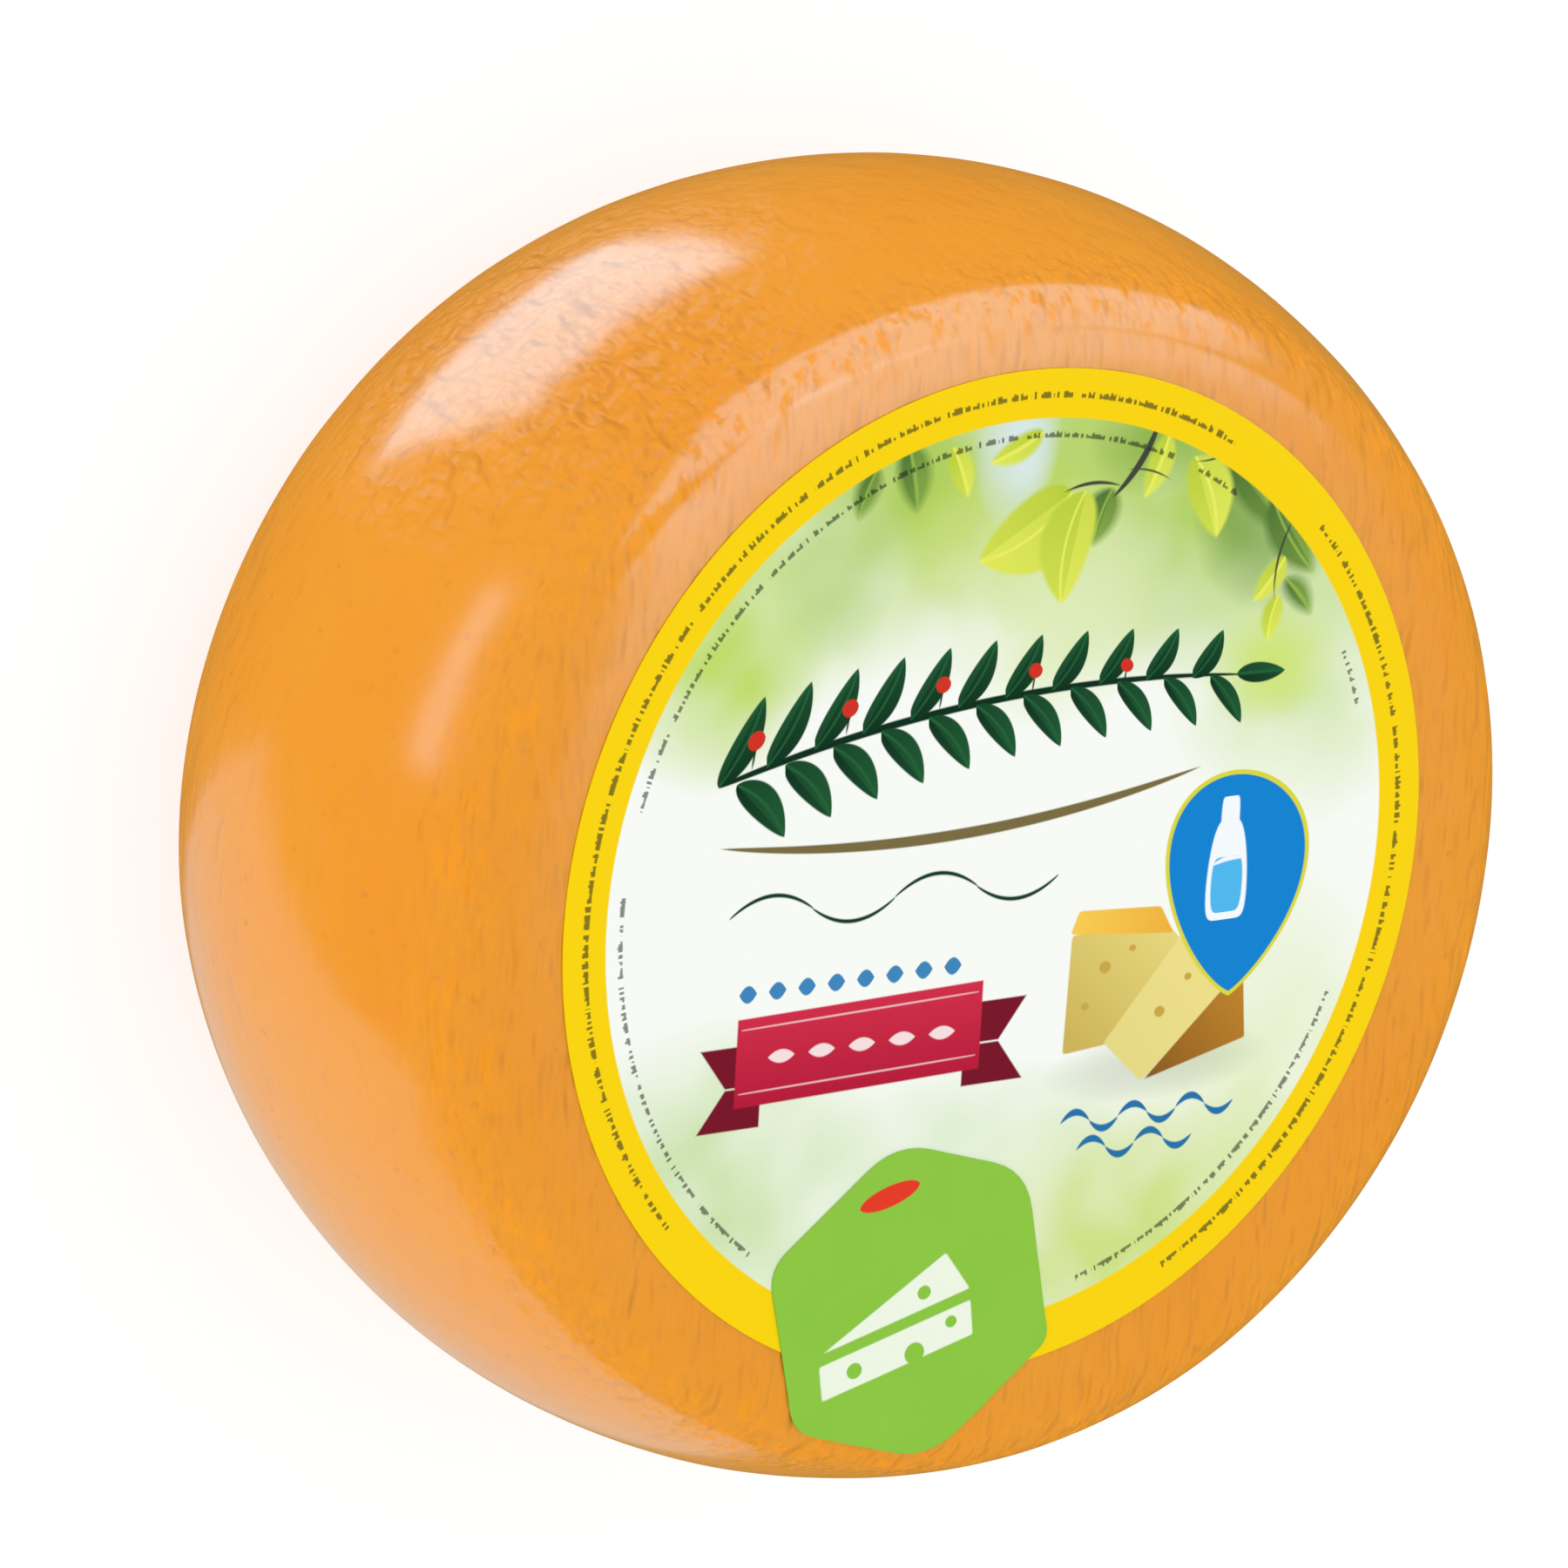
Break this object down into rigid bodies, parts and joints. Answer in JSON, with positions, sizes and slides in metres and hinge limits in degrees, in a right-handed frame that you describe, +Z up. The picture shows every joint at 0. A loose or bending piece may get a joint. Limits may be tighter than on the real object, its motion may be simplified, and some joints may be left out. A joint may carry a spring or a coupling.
{
  "type": "cheese wheel",
  "caption": "Whole wheel of semi-hard cheese in a glossy orange coating, with a round printed face label and a small green sticker; lies on its flat face.",
  "frame": {"origin": "centre of the flat lower face that the wheel rests on, on the wheel's axis", "axes": "+Z up along the wheel's axis, out through the labelled face; +X to the label's right; +Y to the label's top"},
  "size_m": [0.2543, 0.2458, 0.1025],
  "materials": {
    "coated_rind": "gloss",
    "label_paper": "satin",
    "sticker_paper": "satin"
  },
  "bodies": {
    "root": {"cheese_wheel": "coated_rind", "round_label": "label_paper", "green_sticker": "sticker_paper"}
  },
  "joints": []
}
